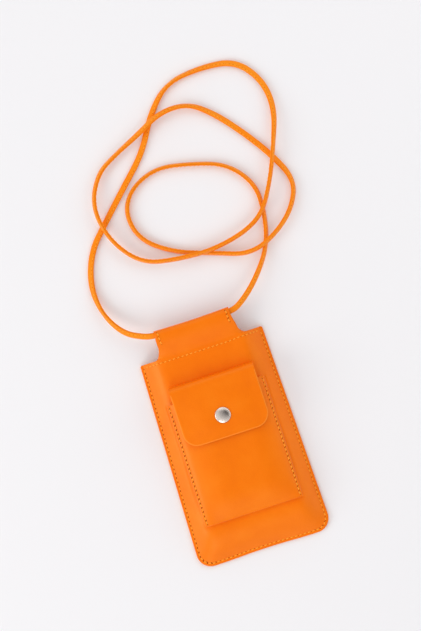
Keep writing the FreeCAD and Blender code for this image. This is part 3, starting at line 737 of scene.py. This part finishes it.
# The route points of the CAD strip, some of them moved to where the strip lies in the photograph.
# Each is x, y, layers of strip below it, and how far the strip is rolled from flat, in degrees.
ROUTE = [
    (-53.5, 98.5, 1.9, 42), (-64.5, 117.5, 0.6, 70), (-67, 141.5, 0, 34), (-57.3, 167, 0, 10), (-40.5, 184, 0, 14),
    (-19.5, 205, 0, 4), (3, 226.5, 0, 6), (17, 251.5, 0, 14), (36.5, 271.5, 0, 68), (65.5, 275, 0, 44),
    (92.5, 272, 0, 14), (108, 252, 0, 10), (110.5, 228, 0.4, 38), (101, 202, 1, 68), (89.5, 175, 1, 72),
    (73, 148.5, 1, 68), (36.5, 138.2, 1, 70), (3, 139.7, 1, 70), (-23.7, 145.6, 0.4, 76), (-41.5, 169, 1, 74),
    (-46.5, 198, 1, 68), (-34.5, 221.5, 0.4, 60), (-16, 231.5, 0.4, 66), (5, 240.5, 1, 44), (24.5, 251, 1, 44),
    (47.5, 251.5, 0.4, 60), (65, 238, 0, 30), (82.5, 216.5, 0, 4), (97.5, 194, 0, 14), (108, 171, 0, 58),
    (100, 151.5, 0.4, 60), (82.5, 136, 1, 66), (58.5, 126, 1, 68), (31.5, 136, 0, 74), (2.5, 146, 0, 72),
    (-20, 163.5, 0, 70), (-24, 187, 0, 66), (-12.5, 203.5, 0, 72), (9.5, 212, 0, 74), (35.5, 207, 0, 74),
    (61.5, 198.5, 0, 72), (78, 178, 0, 64), (78.5, 155, 0, 66), (72.5, 129, 0, 68), (55.5, 106.5, 1.5, 50),
]
# Ends of the strip in the fold of the neck, and its first points outside
LEFT_END = [(-17, 88.65, 13.65, 0), (-30.8, 89.4, 13.65, 14), (-38.5, 90.8, 13.2, 30)]
RIGHT_END = [(38, 92, 13.2, 40), (29, 89.1, 13.65, 20), (15.5, 88.65, 13.65, 0)]
# Half the strip's section, from the slit between the two sewn edges to the folded edge
SECTION = [
    (1.0, 0), (2.12, 0.2), (2.25, 0.55), (2.12, 0.95), (1.7, 1.1), (0.9, 1.2), (0, 1.3), (-0.9, 1.38),
    (-1.6, 1.32), (-2.05, 1.0), (-2.23, 0.5), (-2.25, 0),
]
# How many sides of it are cut edge
SECTION_CUT = 3


def cord_points():
    """Control points of the cord: where they lie and how far the strip is rolled there."""
    points = list(LEFT_END)
    for x, y, layers, roll in ROUTE:
        turn = math.radians(roll)
        reach = math.hypot(CORD_WIDTH / 2 * math.sin(turn), CORD_THICKNESS / 2 * math.cos(turn))
        points.append((x, y, CORD_FULLER * reach + CORD_CLEARANCE + layers * LAYER, roll))
    return points + RIGHT_END


def cord_line(points):
    """The cord's smooth line, read from a spline over its control points."""
    curve = bpy.data.curves.new("cord_line", "CURVE")
    curve.dimensions = "3D"
    spline = curve.splines.new("NURBS")
    spline.points.add(len(points) - 1)
    for place, point in zip(spline.points, points):
        place.co = (*(c * MM for c in point[:3]), 1)
    spline.order_u = 3
    spline.use_endpoint_u = True
    spline.resolution_u = 14
    holder = bpy.data.objects.new("cord_line", curve)
    scene.collection.objects.link(holder)
    mesh = bpy.data.meshes.new_from_object(holder)
    line = np.array([v.co / MM for v in mesh.vertices])
    bpy.data.objects.remove(holder)
    bpy.data.curves.remove(curve)
    bpy.data.meshes.remove(mesh)
    return line


def evenly(line, rolls, step):
    """The line and its rolls at places an even distance apart, and its length."""
    share = np.linspace(0, 1, len(line))
    places = (np.arange(len(rolls)) - 0.5).clip(0) / (len(rolls) - 2)
    rolled = np.interp(share, places.clip(0, 1), rolls)
    done = np.concatenate([[0], np.cumsum(np.linalg.norm(np.diff(line, axis=0), axis=1))])
    at = np.linspace(0, done[-1], int(done[-1] / step) + 1)
    points = [Vector(p) for p in zip(*(np.interp(at, done, line[:, k]) for k in range(3)))]
    return points, np.radians(np.interp(at, done, rolled)), float(done[-1])


def cord_piece():
    """A folded strip, sewn along its open edge, that goes round through the fold of the neck."""
    controls = cord_points()
    line, rolls, length = evenly(cord_line(controls), [c[3] for c in controls], CORD_STEP)
    count = len(line)
    outline = SECTION + [(x, -z) for x, z in reversed(SECTION[1:-1])]
    points, faces, marks, frames = [], [], [], []
    up = Vector((0, 0, 1))
    for i, (at, roll) in enumerate(zip(line, rolls)):
        along = (line[min(i + 1, count - 1)] - line[max(i - 1, 0)]).normalized()
        across = along.cross(up).normalized()
        over = across.cross(along).normalized()
        wide = across * math.cos(roll) + over * math.sin(roll)
        high = over * math.cos(roll) - across * math.sin(roll)
        frames.append((at, along, wide, high))
        points += [at + wide * x + high * z for x, z in outline]
    size = len(outline)
    for i in range(count - 1):
        for k in range(size):
            a, b = i * size + k, i * size + (k + 1) % size
            faces.append((a, b, b + size, a + size))
            marks.append(1 if k < SECTION_CUT or k >= size - SECTION_CUT else 0)
    faces.append(tuple(reversed(range(size))))
    faces.append(tuple((count - 1) * size + k for k in range(size)))
    marks += [1, 1]
    cord = marked_object("neck_strap", (points, faces, marks), [cord_leather, strap_edge])

    form = [], [], []
    every = STITCH_PITCH / CORD_STEP
    for n in range(STRAP_PLAIN, int((count - 1) / every) + 1 - STRAP_PLAIN):
        at, along, wide, high = frames[round(n * every)]
        for side in (-1, 1):
            place = at + wide * STRAP_ROW_ACROSS + high * (side * STRAP_ROW_UP)
            add_stitch(form, place, along, high * side, *STRAP_STITCH)
    stitches = marked_object("strap_stitches", form, STITCH_MATERIALS)
    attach(stitches, "pouch")
    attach(cord, "pouch")
    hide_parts("neck_cord", "cord_end_left", "cord_end_right")


# Snap fastener: its cap, the barrel below it, and the arc of the cap's shoulder by place and half widths
CAP_RADIUS, CAP_RISE, CAP_SUNK, CAP_EDGE = 6.3, 1.7, 0.05, 0.1
BARREL_RADIUS, BARREL_DEPTH = 1.5, 1.75
ARC_INSET, ARC_UP, ARC_WIDE, ARC_HIGH = 0.79, 0.65, 0.4, 0.28
DOME_POWER, DOME_TIP = 2.2, 0.1


def turned(name, profile, materials, centre, segments=72):
    """A round piece from its half section of (radius, height) points."""
    points, faces = [], []
    for radius, height in profile:
        for k in range(segments):
            a = 2 * math.pi * k / segments
            points.append((radius * math.cos(a), centre + radius * math.sin(a), height))
    for i in range(len(profile) - 1):
        for k in range(segments):
            n = (k + 1) % segments
            a, b = i * segments + k, i * segments + n
            faces.append((a, b, b + segments, a + segments))
    points += [(0, centre, profile[0][1]), (0, centre, profile[-1][1])]
    last = (len(profile) - 1) * segments
    for k in range(segments):
        n = (k + 1) % segments
        faces.append((len(points) - 2, n, k))
        faces.append((len(points) - 1, last + k, last + n))
    return mesh_object(name, points, faces, materials)


def snap_pieces():
    """The cap that shows is turned afresh; the hidden pieces keep their solids."""
    base = FLAP_TOP - CAP_SUNK
    profile = [(BARREL_RADIUS, FLAP_TOP - BARREL_DEPTH), (BARREL_RADIUS, base),
               (CAP_RADIUS - CAP_EDGE, base), (CAP_RADIUS, base + CAP_EDGE / 2)]
    for a in spread(0.55, math.pi / 2 - 0.3, 0.15):
        profile.append((CAP_RADIUS - ARC_INSET + ARC_WIDE * math.cos(a), base + ARC_UP + ARC_HIGH * math.sin(a)))
    rim_radius, rim_z = profile[-1]
    for t in spread(0, 1, 0.07)[1:]:
        dome = 1 - (1 - t) ** DOME_POWER
        profile.append((max(rim_radius * (1 - t), DOME_TIP), rim_z + (FLAP_TOP + CAP_RISE - rim_z) * dome))
    cap = turned("snap_dome", profile, [nickel], SNAP_Y)
    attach(cap, "flap")
    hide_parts("snap_cap")
    hidden = {"snap_socket": nickel, "snap_stud": nickel, "snap_post": nickel, "snap_spring": steel}
    for node, material in hidden.items():
        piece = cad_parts[node]
        piece.data.materials.clear()
        piece.data.materials.append(material)


# Stage: pale floor, soft light from all sides with the strongest from the left, camera straight above


def stage():
    """The floor, the world round it, four soft lights and the camera."""
    bpy.ops.mesh.primitive_circle_add(vertices=128, radius=1.4, fill_type="NGON")
    floor = bpy.context.object
    floor.name = "floor"
    floor.location.z = -0.0001
    material, _, shader = new_material("floor")
    shader.inputs["Base Color"].default_value = (0.9, 0.888, 0.9, 1)
    shader.inputs["Roughness"].default_value = 0.9
    shader.inputs["Specular IOR Level"].default_value = 0.1
    floor.data.materials.append(material)

    world = bpy.data.worlds.new("studio")
    world.use_nodes = True
    scene.world = world
    tree = world.node_tree
    sky = tree.nodes["Background"]
    where = add(tree, "ShaderNodeTexCoord").outputs["Generated"]

    def towards(direction):
        """How nearly a part of the world lies in a direction."""
        node = add(tree, "ShaderNodeVectorMath", operation="DOT_PRODUCT")
        tree.links.new(where, node.inputs[0])
        node.inputs[1].default_value = direction
        return node.outputs["Value"]

    # Bright, but for a dimmer patch overhead and a dark card that the snap mirrors
    overhead = ramp(tree, towards((0.29, 0.148, 0.945)), [
        (0.0, (1.0, 1.0, 1.01)), (0.76, (1.0, 1.0, 1.01)), (0.92, (0.55, 0.55, 0.56)), (0.985, (0.25, 0.25, 0.26))])
    card = ramp(tree, towards((0.48, 0.03, 0.877)), [
        (0.0, (1.0, 1.0, 1.0)), (0.93, (1.0, 1.0, 1.0)), (0.97, (0.12, 0.12, 0.12))])
    level = add(tree, "ShaderNodeMapRange")
    level.inputs["From Min"].default_value = -1.0
    level.inputs["To Min"].default_value = 1.2
    level.inputs["To Max"].default_value = 0.84
    tree.links.new(towards((0.72, 0.69, 0.0)), level.inputs["Value"])
    low = ramp(tree, towards((0, 0, 1)), [
        (0.0, (1.0, 1.0, 1.0)), (0.1, (1.0, 1.0, 1.0)), (0.22, (0.45, 0.45, 0.45)), (0.55, (0.7, 0.7, 0.7))])
    colour = overhead
    for share in (level.outputs["Result"], low, card):
        colour = multiplied(tree, colour, share)
    tree.links.new(colour, sky.inputs["Color"])
    sky.inputs["Strength"].default_value = 1.0

    def softbox(name, place, size, power, target):
        """A square light that faces a target."""
        light = bpy.data.lights.new(name, "AREA")
        light.shape = "SQUARE"
        light.size = size
        light.energy = power
        holder = bpy.data.objects.new(name, light)
        scene.collection.objects.link(holder)
        holder.location = place
        holder.rotation_euler = (Vector(target) - Vector(place)).to_track_quat("-Z", "Y").to_euler()

    softbox("window", (-1.6, 0.0, 0.85), size=0.9, power=10.4, target=(0, 0.05, 0))
    softbox("bounce", (1.35, 0.2, 1.0), size=1.6, power=6.5, target=(0, 0, 0))
    softbox("top", (0.4, 1.3, 1.2), size=1.9, power=7.5, target=(0, 0.1, 0))
    softbox("fill", (-0.6, -1.2, 1.15), size=0.9, power=4.6, target=(0, 0, 0))

    camera = bpy.data.cameras.new("camera")
    camera.lens = 70
    camera.sensor_width = 36
    holder = bpy.data.objects.new("camera", camera)
    scene.collection.objects.link(holder)
    holder.location = (0.01425, 0.0910, 0.947)
    holder.rotation_euler = (0, 0, math.radians(-18.0))
    scene.camera = holder
    scene.view_settings.view_transform = "Standard"


stage()
cord_piece()
back_piece()
front_piece()
pocket_piece()
flap_piece()
stitch_pieces()
snap_pieces()

bpy.context.view_layer.update()
